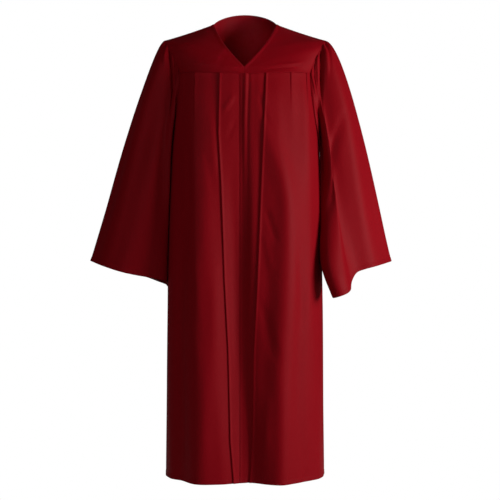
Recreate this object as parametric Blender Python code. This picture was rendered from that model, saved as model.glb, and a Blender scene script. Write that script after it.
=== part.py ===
"""A graduation gown, filled out as it hangs from a wearer's shoulders, in metres with +Z up.

The front faces -Y. The origin is the middle of the neck opening, level with the inner ends of the shoulder
seams, where the wearer's neck passes through. A drop is a distance below that level, and s is a distance
along the cloth's ring from the centre front (or the centre back), before pleating.

Every piece is a grid of points that lies on the garment's form, given a wall: two front yokes and a back
yoke over the shoulders, two front panels and a back panel that are pleated into them, and two bell sleeves
gathered into the armholes. The fronts lap over each other down the centre.
"""

import math

import bmesh
import bpy
import numpy as np

# Cloth and seams
CLOTH = 0.0012  # wall of every panel
SEAM_GAP = 0.0003  # between two pieces that are sewn edge to edge
SLEEVE_GAP_TOP = 0.0010  # the sleeve head stands this far outside the armhole, at the shoulder
SLEEVE_GAP_UNDERARM = 0.0022

# Neck and shoulders
NECK_HALF_WIDTH = 0.082
NECK_BACK_RISE = 0.037
NECK_BACK_DEPTH = 0.074
SHOULDER_X = 0.212
SHOULDER_DROP = 0.043
SHOULDER_SAG = 0.0015  # how far the shoulder seam sags between its ends
V_DROP = 0.128  # bottom of the V neck

# Seams that run round the body
YOKE_DROP_FRONT = 0.146
YOKE_DROP_BACK = 0.152
YOKE_LIFT_AT_ARMHOLE = 0.008
HEM_DROP = 1.180
PANEL_DROPS = (0.176, 0.215, 0.264, 0.312, 0.335, 0.440, 0.550, 0.670, 0.795, 0.920, 1.050, 1.180)  # at the sides

# Armholes: an ellipse seen from the side
ARMHOLE_MID_DROP = 0.189
ARMHOLE_HALF_HEIGHT = 0.146
ARMHOLE_HALF_DEPTH = {"front": 0.062, "back": 0.058}

# The gown's girth: a ring of a rounded-box shape at each drop
RING_COLUMNS = ("drop", "half_width", "front", "back", "power")
RINGS = (
    (0.130, 0.184, 0.108, 0.102, 2.5),
    (0.200, 0.188, 0.121, 0.118, 2.5),
    (0.335, 0.196, 0.131, 0.128, 2.5),
    (0.600, 0.202, 0.139, 0.135, 2.6),
    (0.900, 0.205, 0.146, 0.142, 2.7),
    (1.180, 0.207, 0.165, 0.152, 2.7),
)

# Soft folds of the body panels. A row follows one fold from the yoke (0) to the hem (1): where it lies,
# how far it stands out (+) or in (-), and how wide it is.
FOLD_COLUMNS = ("s_yoke", "s_hem", "out_top", "out_mid", "out_hem", "width_top", "width_hem")
FRONT_FOLDS = (
    (-0.172, -0.176, 0.003, -0.006, -0.009, 0.016, 0.030),
    (-0.100, -0.098, 0.002, 0.013, 0.017, 0.026, 0.036),
    (-0.062, -0.034, 0.001, -0.003, -0.004, 0.016, 0.018),
    (-0.002, 0.004, -0.003, -0.012, -0.014, 0.030, 0.036),
    (0.055, 0.024, 0.001, -0.004, -0.005, 0.016, 0.020),
    (0.094, 0.098, 0.002, 0.012, 0.016, 0.026, 0.034),
    (0.160, 0.166, 0.003, 0.004, -0.006, 0.020, 0.026),
)
BACK_FOLDS = (
    (-0.180, -0.186, -0.003, -0.010, -0.013, 0.014, 0.022),
    (-0.131, -0.137, 0.004, 0.012, 0.016, 0.015, 0.024),
    (-0.088, -0.086, -0.004, -0.011, -0.015, 0.013, 0.020),
    (-0.049, -0.045, 0.004, 0.011, 0.015, 0.013, 0.019),
    (-0.010, 0.004, -0.004, -0.012, -0.016, 0.014, 0.021),
    (0.036, 0.047, 0.004, 0.012, 0.017, 0.014, 0.021),
    (0.080, 0.092, -0.004, -0.010, -0.014, 0.013, 0.020),
    (0.124, 0.134, 0.004, 0.013, 0.016, 0.015, 0.022),
    (0.176, 0.183, -0.003, -0.011, -0.014, 0.015, 0.024),
)

FOLD_FADE = 0.040  # folds die away over this width before a side seam or an armhole

# Knife pleats, one beside the centre front on each side: the folded edge faces outwards
PLEAT_EDGE = {  # s of the folded edge at the yoke, halfway down and at the hem
    "left": (0.066, 0.060, 0.030),
    "right": (0.054, 0.036, 0.019),
}
PLEAT_OVERLAP = {"left": 0.016, "right": 0.011}
PLEAT_RADIUS = 0.0011  # of each turn of the cloth

# The front opening. The right front laps over the left one, and its edge stands up in a lip that fades
YOKES_MEET_X = -0.002
LAP_EDGE = 0.012  # how far the right front passes the centre
LAP_UNDER = 0.004  # how far the left front passes it, underneath
LAP_DEPTH = 0.0020
LIP_HEIGHT = 0.0030
LIP_S = 0.0005
LIP_WIDTH = 0.0055
LIP_FADES_DROP = 0.60

# Sleeves. Each is a loft from its armhole to its cuff. A row is one point of the cuff's loop, from the outer
# corner round the front to the inner corner and back behind: share of the way round, x outwards, y and z.
CUFF_COLUMNS = ("share", "x", "y", "z")
CUFFS = {
    "left": (
        (0.00, 0.417, 0.030, -0.622),
        (0.10, 0.368, -0.036, -0.638),
        (0.20, 0.314, -0.062, -0.656),
        (0.30, 0.264, -0.056, -0.673),
        (0.40, 0.227, -0.020, -0.685),
        (0.50, 0.210, 0.045, -0.692),
        (0.60, 0.228, 0.104, -0.686),
        (0.70, 0.276, 0.134, -0.670),
        (0.80, 0.338, 0.128, -0.650),
        (0.90, 0.389, 0.088, -0.632),
    ),
    "right": (
        (0.00, 0.394, 0.008, -0.623),
        (0.08, 0.345, -0.046, -0.636),
        (0.15, 0.300, -0.064, -0.647),
        (0.19, 0.280, -0.078, -0.656),
        (0.225, 0.281, -0.098, -0.684),
        (0.27, 0.268, -0.114, -0.702),
        (0.33, 0.246, -0.112, -0.714),
        (0.38, 0.232, -0.090, -0.716),
        (0.44, 0.220, -0.046, -0.690),
        (0.50, 0.214, 0.006, -0.660),
        (0.60, 0.228, 0.070, -0.656),
        (0.70, 0.262, 0.108, -0.650),
        (0.80, 0.316, 0.112, -0.640),
        (0.90, 0.363, 0.072, -0.630),
    ),
}
SLEEVE_CLEAR = 0.009  # between a sleeve and the side of the body, below the armhole
SLEEVE_LEAVES = {  # share of the way round, direction of the cloth as it leaves the armhole, and its pull
    "left": (
        (0.00, (0.90, 0.00, -0.40), 0.130),
        (0.25, (0.70, -0.24, -0.66), 0.180),
        (0.50, (0.50, 0.00, -0.86), 0.300),
        (0.75, (0.70, 0.24, -0.66), 0.180),
        (1.00, (0.90, 0.00, -0.40), 0.130),
    ),
    "right": (
        (0.00, (0.95, 0.00, -0.30), 0.185),
        (0.25, (0.74, -0.24, -0.62), 0.200),
        (0.50, (0.50, 0.00, -0.86), 0.300),
        (0.75, (0.74, 0.24, -0.62), 0.200),
        (1.00, (0.95, 0.00, -0.30), 0.185),
    ),
}
SLEEVE_ARRIVES = {"left": (0.30, 0.0, -0.954), "right": (0.238, 0.0, -0.971)}
SLEEVE_PULL_AT_CUFF = 0.54
SLEEVE_FOLD_COLUMNS = ("round_top", "round_cuff", "out_top", "out_mid", "out_cuff", "width")
SLEEVE_FOLDS = {
    "left": (
        (0.100, 0.080, 0.006, 0.006, 0.004, 0.035),
        (0.170, 0.330, -0.014, -0.012, -0.004, 0.045),
        (0.270, 0.440, 0.007, 0.010, 0.008, 0.050),
        (0.620, 0.600, -0.006, -0.012, -0.012, 0.050),
        (0.720, 0.710, 0.008, 0.012, 0.012, 0.050),
        (0.820, 0.830, -0.007, -0.010, -0.010, 0.045),
        (0.920, 0.930, 0.006, 0.008, 0.006, 0.040),
    ),
    "right": (
        (0.090, 0.110, 0.006, 0.008, 0.006, 0.040),
        (0.170, 0.240, -0.010, -0.012, -0.012, 0.035),
        (0.250, 0.350, 0.006, 0.014, 0.014, 0.045),
        (0.330, 0.450, -0.006, -0.008, -0.004, 0.045),
        (0.610, 0.600, 0.005, 0.010, 0.011, 0.050),
        (0.700, 0.700, -0.007, -0.012, -0.013, 0.045),
        (0.810, 0.800, 0.007, 0.011, 0.012, 0.045),
        (0.900, 0.900, -0.005, -0.007, -0.006, 0.035),
    ),
}

# How finely each piece is divided
BACK_COLUMNS = 36
YOKE_SHARES = (0.0, 0.17, 0.34, 0.51, 0.68, 0.84, 1.0)
SLEEVE_ROWS = (0.0, 0.06, 0.13, 0.21, 0.30, 0.40, 0.52, 0.64, 0.76, 0.88, 1.0)

SIDE_SIGN = {"left": -1.0, "right": 1.0}  # as seen from the front

MAROON = (0.21, 0.004, 0.014, 1.0)


def named(columns, rows):
    """The rows of a table as one array for each column."""
    return {name: np.array([row[i] for row in rows]) for i, name in enumerate(columns)}


def smooth(x):
    x = np.clip(x, 0.0, 1.0)
    return x * x * (3 - 2 * x)


RING = named(RING_COLUMNS, RINGS)


def ring_size(drop):
    """Half width, front depth, back depth and roundness of the girth at a drop."""
    return [np.interp(drop, RING["drop"], RING[name]) for name in RING_COLUMNS[1:]]


def quarter_ring(drop, face, count=160):
    """A quarter of the girth, from the centre front or back to the side: s, x, y and the outward normal."""
    half_width, front, back, power = ring_size(drop)
    depth = front if face == "front" else back
    turn = np.linspace(0.0, math.pi / 2, count)
    x = half_width * np.sin(turn) ** (2 / power)
    y = depth * np.cos(turn) ** (2 / power)
    s = np.concatenate([[0.0], np.cumsum(np.hypot(np.diff(x), np.diff(y)))])
    along_x, along_y = np.gradient(x, s), np.gradient(y, s)
    length = np.hypot(along_x, along_y)
    sign = -1.0 if face == "front" else 1.0
    return {"s": s, "x": x, "y": sign * y, "nx": -along_y / length, "ny": sign * along_x / length}


def on_ring(quarter, s, out, drop):
    """The point at s on a ring, moved out along its normal. A negative s is left of the centre line."""
    at = abs(s)
    sign = -1.0 if s < 0 else 1.0
    x = np.interp(at, quarter["s"], quarter["x"]) + out * np.interp(at, quarter["s"], quarter["nx"])
    y = np.interp(at, quarter["s"], quarter["y"]) + out * np.interp(at, quarter["s"], quarter["ny"])
    return np.array([sign * x, y, -drop])


def armhole_y(drop, face):
    """Depth of the armhole's edge at a drop: an ellipse seen from the side."""
    across = (ARMHOLE_MID_DROP - drop) / ARMHOLE_HALF_HEIGHT
    return ARMHOLE_HALF_DEPTH[face] * math.sqrt(max(0.0, 1.0 - across * across))


def armhole_s(drop, face):
    """s of the armhole's edge, or of the side seam below the underarm."""
    quarter = quarter_ring(drop, face)
    if drop >= ARMHOLE_MID_DROP + ARMHOLE_HALF_HEIGHT:
        return quarter["s"][-1]
    depth = armhole_y(drop, face)
    return float(np.interp(-depth, -np.abs(quarter["y"]), quarter["s"]))


def yoke_drop(s, face):
    """Drop of the seam between a yoke and its panel."""
    middle = YOKE_DROP_FRONT if face == "front" else YOKE_DROP_BACK
    return middle - YOKE_LIFT_AT_ARMHOLE * smooth(abs(s) / 0.2)


def armhole_point(turn, face):
    """A point of the armhole, from the shoulder (turn 0) to the underarm (turn pi), on the right side."""
    drop = ARMHOLE_MID_DROP - ARMHOLE_HALF_HEIGHT * math.cos(turn)
    y = armhole_y(drop, face) * (-1.0 if face == "front" else 1.0)
    seam = yoke_drop(0.2, face)
    quarter = quarter_ring(max(drop, seam), face)
    x = np.interp(-abs(y), -np.abs(quarter["y"]), quarter["x"])
    if drop < seam:
        seam_x = np.interp(-armhole_y(seam, face), -np.abs(quarter["y"]), quarter["x"])
        up = (seam - drop) / (seam - SHOULDER_DROP)
        x = seam_x + (SHOULDER_X - seam_x) * up**1.3
    return np.array([x, y, -drop])


def soft_folds(folds, s, down, outer):
    """How far a body panel stands out at s, down from the yoke (0) to the hem (1). It lies flat at its outer edge."""
    f = named(FOLD_COLUMNS, folds)
    centre = f["s_yoke"] + (f["s_hem"] - f["s_yoke"]) * down
    middle = 0.45
    if down < middle:
        out = f["out_top"] + (f["out_mid"] - f["out_top"]) * smooth(down / middle)
    else:
        out = f["out_mid"] + (f["out_hem"] - f["out_mid"]) * (down - middle) / (1 - middle)
    width = f["width_top"] + (f["width_hem"] - f["width_top"]) * down
    out = float(np.sum(out * np.exp(-(((s - centre) / width) ** 2))))
    return out * float(smooth(down / 0.06) * smooth((outer - abs(s)) / FOLD_FADE))


def pleat_edge(side, down):
    """s of a knife pleat's folded edge."""
    yoke, middle, hem = PLEAT_EDGE[side]
    return float(np.interp(down, (0.0, 0.5, 1.0), (yoke, middle, hem)))


def pleat_layers(edge, overlap):
    """(s, depth) along the cloth as it turns under at the folded edge, runs back and comes out again."""
    r = PLEAT_RADIUS
    turned_under = [(edge - r + r * math.sin(a), -r + r * math.cos(a)) for a in np.radians((0, 60, 120, 180))]
    inner = edge - overlap
    turned_out = [(inner + r - r * math.sin(a), -3 * r + r * math.cos(a)) for a in np.radians((0, 60, 120, 180))]
    return turned_under + turned_out


def lip(s, drop):
    """How far the right front stands out near its edge, at s past the centre."""
    fade = 1.0 - 0.75 * smooth((drop - YOKE_DROP_FRONT) / (LIP_FADES_DROP - YOKE_DROP_FRONT))
    raised = LIP_HEIGHT * fade * math.exp(-(((s - LIP_S) / LIP_WIDTH) ** 2))
    return 0.0004 + float(raised) - 0.0010 * math.exp(-(((s - 0.0095) / 0.0035) ** 2))


def drop_at(s, row_drop, face):
    """Drop of a panel's row at s. row_drop is its drop at the sides, and None is the yoke's seam."""
    top = yoke_drop(s, face) + SEAM_GAP
    if row_drop is None:
        return top, 0.0
    side_top = yoke_drop(0.2, face) + SEAM_GAP
    down = (row_drop - side_top) / (HEM_DROP - side_top)
    return top + (HEM_DROP - top) * down, down


def front_panel_row(side, row_drop):
    """One row of points of a front panel, from the centre front to the armhole or side seam."""
    sign = SIDE_SIGN[side]
    side_drop, down = drop_at(0.2, row_drop, "front")
    edge = pleat_edge(side, down)
    layers = pleat_layers(edge, PLEAT_OVERLAP[side])
    outer = armhole_s(side_drop, "front") - SEAM_GAP / 2
    if side == "left":
        centre = [(s, -LAP_DEPTH) for s in (-LAP_UNDER, 0.004, 0.014)]
    else:
        centre = [(s, lip(s, side_drop)) for s in (-LAP_EDGE, -0.006, -0.002, 0.002, 0.006, 0.0095, 0.014)]
    to_pleat = [(s, 0.0) for s in np.linspace(centre[-1][0], layers[0][0], 4)[1:-1]]
    surfacing = edge + np.array((0.004, 0.012, 0.022, 0.034))
    depth = 4 * PLEAT_RADIUS
    rising = [(s, -depth * (1 - smooth((s - edge - 0.002) / 0.03))) for s in surfacing]
    rest = [(s, 0.0) for s in np.linspace(surfacing[-1], outer, 12)[1:]]
    points = []
    for s, layer in centre + to_pleat + layers + rising + rest:
        drop, down = drop_at(s, row_drop, "front")
        out = soft_folds(FRONT_FOLDS, sign * s, down, outer) + layer
        points.append(on_ring(quarter_ring(drop, "front"), sign * s, out, drop))
    return points


def back_panel_row(row_drop):
    """One row of points of the back panel, from the left side to the right."""
    side_drop, _ = drop_at(0.2, row_drop, "back")
    outer = armhole_s(side_drop, "back") - SEAM_GAP / 2
    points = []
    for s in np.linspace(-outer, outer, BACK_COLUMNS):
        drop, down = drop_at(s, row_drop, "back")
        out = soft_folds(BACK_FOLDS, s, down, outer)
        points.append(on_ring(quarter_ring(drop, "back"), s, out, drop))
    return points


def shoulder_seam(u):
    """From the neck (0) to the shoulder point (1)."""
    x = NECK_HALF_WIDTH + (SHOULDER_X - NECK_HALF_WIDTH) * u
    drop = SHOULDER_DROP * u + SHOULDER_SAG * math.sin(math.pi * u)
    return np.array([x, 0.0, -drop])


def coons(top, bottom, inner, outer, us, vs):
    """A grid of points between four curves. top and bottom run from inner (u 0) to outer (u 1)."""
    corners = {(a, b): (top if b == 0 else bottom)(float(a)) for a in (0, 1) for b in (0, 1)}
    rows = []
    for v in vs:
        row = []
        for u in us:
            along = (1 - v) * top(u) + v * bottom(u)
            across = (1 - u) * inner(v) + u * outer(v)
            flat = (1 - v) * ((1 - u) * corners[0, 0] + u * corners[1, 0])
            flat = flat + v * ((1 - u) * corners[0, 1] + u * corners[1, 1])
            row.append(along + across - flat)
        rows.append(row)
    return rows


def yoke_bottom(face, inner_s):
    """The lower edge of a yoke, as a function of u from its inner end to the armhole."""

    def at(u):
        seam = yoke_drop(0.2, face)
        s = inner_s + (armhole_s(seam, face) - inner_s) * u
        drop = yoke_drop(s, face)
        return on_ring(quarter_ring(drop, face), s, 0.0, drop)

    return at


def armhole_edge(face):
    """The outer edge of a yoke, from the shoulder (v 0) down to its seam (v 1)."""
    seam = yoke_drop(0.2, face)
    last = math.acos((ARMHOLE_MID_DROP - seam) / ARMHOLE_HALF_HEIGHT)
    return lambda v: armhole_point(last * v, face)


def yokes_meet(side):
    """How far out from the centre a front yoke begins, on its own side."""
    return SIDE_SIGN[side] * YOKES_MEET_X + SEAM_GAP / 2


def v_neck_edge(v, side):
    """The inner edge of a front yoke: the V neck, then the short centre front below it."""
    inner = yokes_meet(side)
    bottom = yoke_bottom("front", inner)(0.0)
    point = on_ring(quarter_ring(YOKE_DROP_FRONT, "front"), inner, 0.0, V_DROP)
    point[1] += 0.004
    end = 0.84
    if v > end:
        return point + (bottom - point) * (v - end) / (1 - end)
    t = v / end
    start = np.array([NECK_HALF_WIDTH, 0.0, 0.0])
    bow = math.sin(math.pi * t)
    return start + (point - start) * t + np.array([0.007, -0.010, 0.003]) * bow


def neck_back_edge(t):
    """The back of the neck, from the centre back (0) to the shoulder seam (1)."""
    turn = math.pi / 2 * (1 - t)
    return np.array(
        [NECK_HALF_WIDTH * math.cos(turn), NECK_BACK_DEPTH * math.sin(turn), NECK_BACK_RISE * math.sin(turn)]
    )


def centre_back_edge(v):
    """The middle of the back yoke, from the neck down to its seam."""
    top = neck_back_edge(0.0)
    bottom = yoke_bottom("back", 0.0)(0.0)
    return np.array([0.0, top[1] + (bottom[1] - top[1]) * math.sin(math.pi / 2 * v), top[2] + (bottom[2] - top[2]) * v])


def front_yoke_rows(side):
    rows = coons(
        shoulder_seam,
        yoke_bottom("front", yokes_meet(side)),
        lambda v: v_neck_edge(v, side),
        armhole_edge("front"),
        np.linspace(0.0, 1.0, 8),
        YOKE_SHARES,
    )
    rows[0] = [p - (0.0, SEAM_GAP / 2, 0.0) for p in rows[0]]
    mirror = np.array([SIDE_SIGN[side], 1.0, 1.0])
    return [[p * mirror for p in row] for row in rows]


def back_yoke_rows():
    neck_share = 0.36
    half = np.concatenate([np.linspace(0.0, neck_share, 5), np.linspace(neck_share, 1.0, 7)[1:]])

    def top(u):
        if u <= neck_share:
            return neck_back_edge(u / neck_share)
        return shoulder_seam((u - neck_share) / (1 - neck_share))

    rows = coons(top, yoke_bottom("back", 0.0), centre_back_edge, armhole_edge("back"), half, YOKE_SHARES)
    rows[0] = [p + (0.0, SEAM_GAP / 2 if u >= neck_share else 0.0, 0.0) for u, p in zip(half, rows[0], strict=True)]
    mirror = np.array([-1.0, 1.0, 1.0])
    return [[p * mirror for p in row[:0:-1]] + row for row in rows]


def key_direction(share, keys):
    """Direction and pull between the rows of a table keyed by the share of the way round."""
    at = [k[0] for k in keys]
    direction = np.array([np.interp(share, at, [k[1][i] for k in keys]) for i in range(3)])
    return direction / np.linalg.norm(direction) * np.interp(share, at, [k[2] for k in keys])


def cuff_point(side, share):
    """A point of the cuff's loop, smoothed between the rows of its table."""
    cuff = named(CUFF_COLUMNS, CUFFS[side])
    near = np.linspace(-0.025, 0.025, 7) + share
    return np.array([np.interp(near, cuff["share"], cuff[axis], period=1.0).mean() for axis in "xyz"])


def clear_of_body(point, along):
    """The point moved outwards where it would come too near the side of the body panels."""
    half_width, front, back, power = ring_size(-point[2])
    depth = front if point[1] < 0 else back
    beside = max(0.0, 1.0 - (abs(point[1]) / (depth + 0.02)) ** power)
    clear = SLEEVE_GAP_UNDERARM + (SLEEVE_CLEAR - SLEEVE_GAP_UNDERARM) * smooth(along / 0.15)
    nearest = (half_width + clear) * beside ** (1 / power)
    if along == 0 or point[0] >= nearest:
        return point
    return np.array([nearest, point[1], point[2]])


def armhole_loop(share):
    """The armhole all the way round: shoulder at 0, front, underarm at 0.5, back."""
    if share <= 0.5:
        return armhole_point(2 * math.pi * share, "front")
    return armhole_point(2 * math.pi * (1 - share), "back")


def sleeve_point(side, share, along):
    """The sleeve before folding: a Hermite curve from the armhole to the cuff."""
    gap = SLEEVE_GAP_TOP + (SLEEVE_GAP_UNDERARM - SLEEVE_GAP_TOP) * math.sin(math.pi * share) ** 2
    start = armhole_loop(share) + np.array([gap, 0.0, 0.0])
    end = cuff_point(side, share)
    leaves = key_direction(share, SLEEVE_LEAVES[side])
    arrives = np.array(SLEEVE_ARRIVES[side]) * SLEEVE_PULL_AT_CUFF
    t2, t3 = along**2, along**3
    return (
        (2 * t3 - 3 * t2 + 1) * start
        + (t3 - 2 * t2 + along) * leaves
        + (3 * t2 - 2 * t3) * end
        + (t3 - t2) * arrives
    )


def sleeve_fold(side, share, along):
    f = named(SLEEVE_FOLD_COLUMNS, SLEEVE_FOLDS[side])
    centre = f["round_top"] + (f["round_cuff"] - f["round_top"]) * along
    out = np.where(
        along < 0.5,
        f["out_top"] + (f["out_mid"] - f["out_top"]) * along * 2,
        f["out_mid"] + (f["out_cuff"] - f["out_mid"]) * (along - 0.5) * 2,
    )
    apart = (share - centre + 0.5) % 1.0 - 0.5
    return float(np.sum(out * np.exp(-((apart / f["width"]) ** 2)))) * float(smooth(along / 0.10))


def grid_normals(grid, closed):
    """Unit normals of a grid of points. A closed grid joins up along its rows."""
    points = np.array(grid)
    if closed:
        across = np.roll(points, -1, axis=1) - np.roll(points, 1, axis=1)
    else:
        across = np.gradient(points, axis=1)
    down = np.gradient(points, axis=0)
    normal = np.cross(across, down)
    return normal / np.linalg.norm(normal, axis=2, keepdims=True)


def sleeve_shares():
    """Shares of the way round at which the yokes' and panels' own rows meet the armhole, and some between."""
    halves = []
    for face in ("front", "back"):
        seam = yoke_drop(0.2, face)
        last = math.acos((ARMHOLE_MID_DROP - seam) / ARMHOLE_HALF_HEIGHT)
        turns = [last * v for v in YOKE_SHARES]
        underarm = ARMHOLE_MID_DROP + ARMHOLE_HALF_HEIGHT
        turns += [math.acos((ARMHOLE_MID_DROP - d) / ARMHOLE_HALF_HEIGHT) for d in PANEL_DROPS if d <= underarm]
        for low, high in list(zip(turns, turns[1:])):
            if high - low > 0.32:
                turns.append((low + high) / 2)
        halves.append(sorted(turn / (2 * math.pi) for turn in turns))
    front, back = halves
    return np.array(front + [1.0 - share for share in back[-2:0:-1]])


def sleeve_rows(side):
    shares = sleeve_shares()
    base = np.array([[sleeve_point(side, share, along) for share in shares] for along in SLEEVE_ROWS])
    out = np.array([[sleeve_fold(side, share, along) for share in shares] for along in SLEEVE_ROWS])
    normal = grid_normals(base, closed=True)
    middle = base.mean(axis=1, keepdims=True)
    facing_out = np.sign(np.sum(normal * (base - middle), axis=2, keepdims=True).mean())
    folded = base + normal * facing_out * out[..., None]
    clear = [[clear_of_body(p, along) for p in row] for row, along in zip(folded, SLEEVE_ROWS, strict=True)]
    return np.array(clear) * np.array([SIDE_SIGN[side], 1.0, 1.0])


def material(name, colour, roughness):
    made = bpy.data.materials.new(name)
    made.use_nodes = True
    shader = made.node_tree.nodes["Principled BSDF"]
    shader.inputs["Base Color"].default_value = colour
    shader.inputs["Roughness"].default_value = roughness
    return made


def add_object(name, mesh, finish, collection):
    made = bpy.data.objects.new(name, mesh)
    made.data.materials.append(finish)
    collection.objects.link(made)
    return made


def cloth_piece(name, rows, finish, collection, closed=False, seams=()):
    """A grid of points as one sheet with a wall, half of it on each side of the points.

    seams names the grid's edges that are sewn to another piece, with the axis across each seam. The wall
    is square to that axis there, so that the two pieces stay the same distance apart through the cloth.
    """
    grid = np.array(rows)
    row_count, column_count = grid.shape[:2]
    normal = grid_normals(grid, closed)
    middle = grid.reshape(-1, 3).mean(axis=0) * (1.0, 1.0, 0.0) if closed else np.zeros(3)
    if np.sum(normal[..., :2] * (grid - middle)[..., :2]) < 0:
        normal = -normal
    shoulders = [c for c in range(column_count) if abs(grid[0, c, 0]) > NECK_HALF_WIDTH - 1e-6]
    where = {"top": (0, slice(None)), "bottom": (-1, slice(None)), "shoulders": (0, shoulders)}
    where |= {"first": (slice(None), 0), "last": (slice(None), -1)}
    for edge, axis in seams:
        square = normal[where[edge]].copy()
        square[:, axis] = 0.0
        normal[where[edge]] = square / np.linalg.norm(square, axis=1, keepdims=True)
    outside = (grid + normal * CLOTH / 2).reshape(-1, 3)
    inside = (grid - normal * CLOTH / 2).reshape(-1, 3)
    count = row_count * column_count
    faces = []
    columns = range(column_count if closed else column_count - 1)
    for r in range(row_count - 1):
        for c in columns:
            a, b = r * column_count + c, r * column_count + (c + 1) % column_count
            quad = (a, b, b + column_count, a + column_count)
            faces.append(quad)
            faces.append(tuple(i + count for i in reversed(quad)))
    rim = [(c, (c + 1) % column_count) for c in columns]
    rim += [(b + count - column_count, a + count - column_count) for a, b in rim]
    if not closed:
        down = [(r * column_count, (r + 1) * column_count) for r in range(row_count - 1)]
        rim += [(b, a) for a, b in down] + [(a + column_count - 1, b + column_count - 1) for a, b in down]
    faces += [(b, a, a + count, b + count) for a, b in rim]
    mesh = bpy.data.meshes.new(name)
    mesh.from_pydata([tuple(p) for p in np.vstack([outside, inside])], [], faces)
    bm = bmesh.new()
    bm.from_mesh(mesh)
    bmesh.ops.recalc_face_normals(bm, faces=bm.faces)
    bmesh.ops.triangulate(bm, faces=bm.faces)
    bm.to_mesh(mesh)
    bm.free()
    return add_object(name, mesh, finish, collection)


def build():
    for obj in list(bpy.data.objects):
        bpy.data.objects.remove(obj)
    gown = bpy.data.collections.new("graduation_gown")
    bpy.context.scene.collection.children.link(gown)
    cloth = material("gown_cloth", MAROON, 0.45)

    for side in ("left", "right"):
        front = [front_panel_row(side, drop) for drop in (None, *PANEL_DROPS)]
        yoke_seams = (("top", 1), ("bottom", 2))
        cloth_piece(f"front_yoke_{side}", front_yoke_rows(side), cloth, gown, seams=yoke_seams)
        cloth_piece(f"front_panel_{side}", front, cloth, gown, seams=(("top", 2), ("last", 1)))
        cloth_piece(f"sleeve_{side}", sleeve_rows(side), cloth, gown, closed=True)
    back = [back_panel_row(drop) for drop in (None, *PANEL_DROPS)]
    cloth_piece("back_yoke", back_yoke_rows(), cloth, gown, seams=(("bottom", 2), ("shoulders", 1)))
    cloth_piece("back_panel", back, cloth, gown, seams=(("top", 2), ("first", 1), ("last", 1)))


build()
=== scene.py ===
import math
import random

import bmesh
import bpy
import numpy as np
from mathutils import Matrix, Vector


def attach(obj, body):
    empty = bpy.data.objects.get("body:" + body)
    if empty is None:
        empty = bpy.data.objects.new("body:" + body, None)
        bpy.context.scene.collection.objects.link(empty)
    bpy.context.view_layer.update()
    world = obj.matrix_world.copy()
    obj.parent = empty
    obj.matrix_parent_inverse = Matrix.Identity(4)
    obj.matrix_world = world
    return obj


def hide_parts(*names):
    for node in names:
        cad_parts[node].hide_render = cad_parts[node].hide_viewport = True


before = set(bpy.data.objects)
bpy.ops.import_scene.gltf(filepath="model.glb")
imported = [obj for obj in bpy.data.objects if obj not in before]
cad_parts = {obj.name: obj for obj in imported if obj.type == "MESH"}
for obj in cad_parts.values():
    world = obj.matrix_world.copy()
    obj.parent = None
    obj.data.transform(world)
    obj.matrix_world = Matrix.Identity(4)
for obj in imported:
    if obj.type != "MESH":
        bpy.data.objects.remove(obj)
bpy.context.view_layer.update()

# Graduation gown, built in metres round the neck opening. The front faces -Y and Z is up.
# "drop" is a depth below the shoulder seams' inner ends; "s" runs along the cloth from the centre line.

girth = {
    "columns": ("drop", "halfWidth", "front", "back", "power"),
    "rows": (
        (0.13, 0.184, 0.108, 0.102, 2.5), (0.2, 0.188, 0.121, 0.118, 2.5),
        (0.335, 0.196, 0.131, 0.128, 2.5), (0.6, 0.202, 0.139, 0.135, 2.6),
        (0.9, 0.205, 0.146, 0.142, 2.7), (1.18, 0.207, 0.165, 0.152, 2.7),
    ),
    "hemDrop": 1.18,
    "easing": (-0.035, -0.021, -0.007, 0.007, 0.021, 0.035),  # averaged over this way down
    "steps": 500,
    "lookupDrops": (0.1, 1.2, 276),
    "lookupShares": 501,
}

shoulders = {
    "neckHalfWidth": 0.082,
    "neckBackRise": 0.04,
    "neckBackDepth": 0.074,
    "shoulderX": 0.212,
    "shoulderDrop": 0.043,
    "sag": 0.0015,
    "vDrop": 0.128,
    "yokeDrop": {"front": 0.146, "back": 0.152},
    "yokeLift": 0.008,  # the yoke seam rises this much towards the armhole
    "yokeHalfWidth": 0.2,
    "yokesMeetX": -0.002,
    "seamGap": 0.00004,
}

armhole = {
    "midDrop": 0.189,
    "halfHeight": 0.146,
    "halfDepth": {"front": 0.062, "back": 0.058},
}

wallThickness = 0.0007
sideSign = {"left": -1.0, "right": 1.0}  # as seen from the front
faceSign = {"front": -1.0, "back": 1.0}


def smooth(x):
    x = np.clip(x, 0.0, 1.0)
    return x * x * (3 - 2 * x)


def columnsOf(table):
    rows = np.array(table["rows"], dtype=float)
    return {name: rows[:, i] for i, name in enumerate(table["columns"])}


girthAt = columnsOf(girth)


def girthSize(drop):
    # eased, so that no line shows where one row of the table meets the next
    near = [np.add(drop, shift) for shift in girth["easing"]]
    return [
        np.mean([np.interp(at, girthAt["drop"], girthAt[name]) for at in near], axis=0)
        for name in girth["columns"][1:]
    ]


def quarterGirth(drop, face):
    # from the centre front or back to the side: s, x, y and the outward normal
    halfWidth, front, back, power = girthSize(drop)
    depth = front if face == "front" else back
    turn = np.linspace(0, math.pi / 2, girth["steps"])
    x = halfWidth * np.sin(turn) ** (2 / power)
    y = depth * np.cos(turn) ** (2 / power)
    s = np.concatenate([[0.0], np.cumsum(np.hypot(np.diff(x), np.diff(y)))])
    dx, dy = np.gradient(x, s), np.gradient(y, s)
    size = np.hypot(dx, dy)
    return s, x, faceSign[face] * y, -dy / size, faceSign[face] * dx / size


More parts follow.
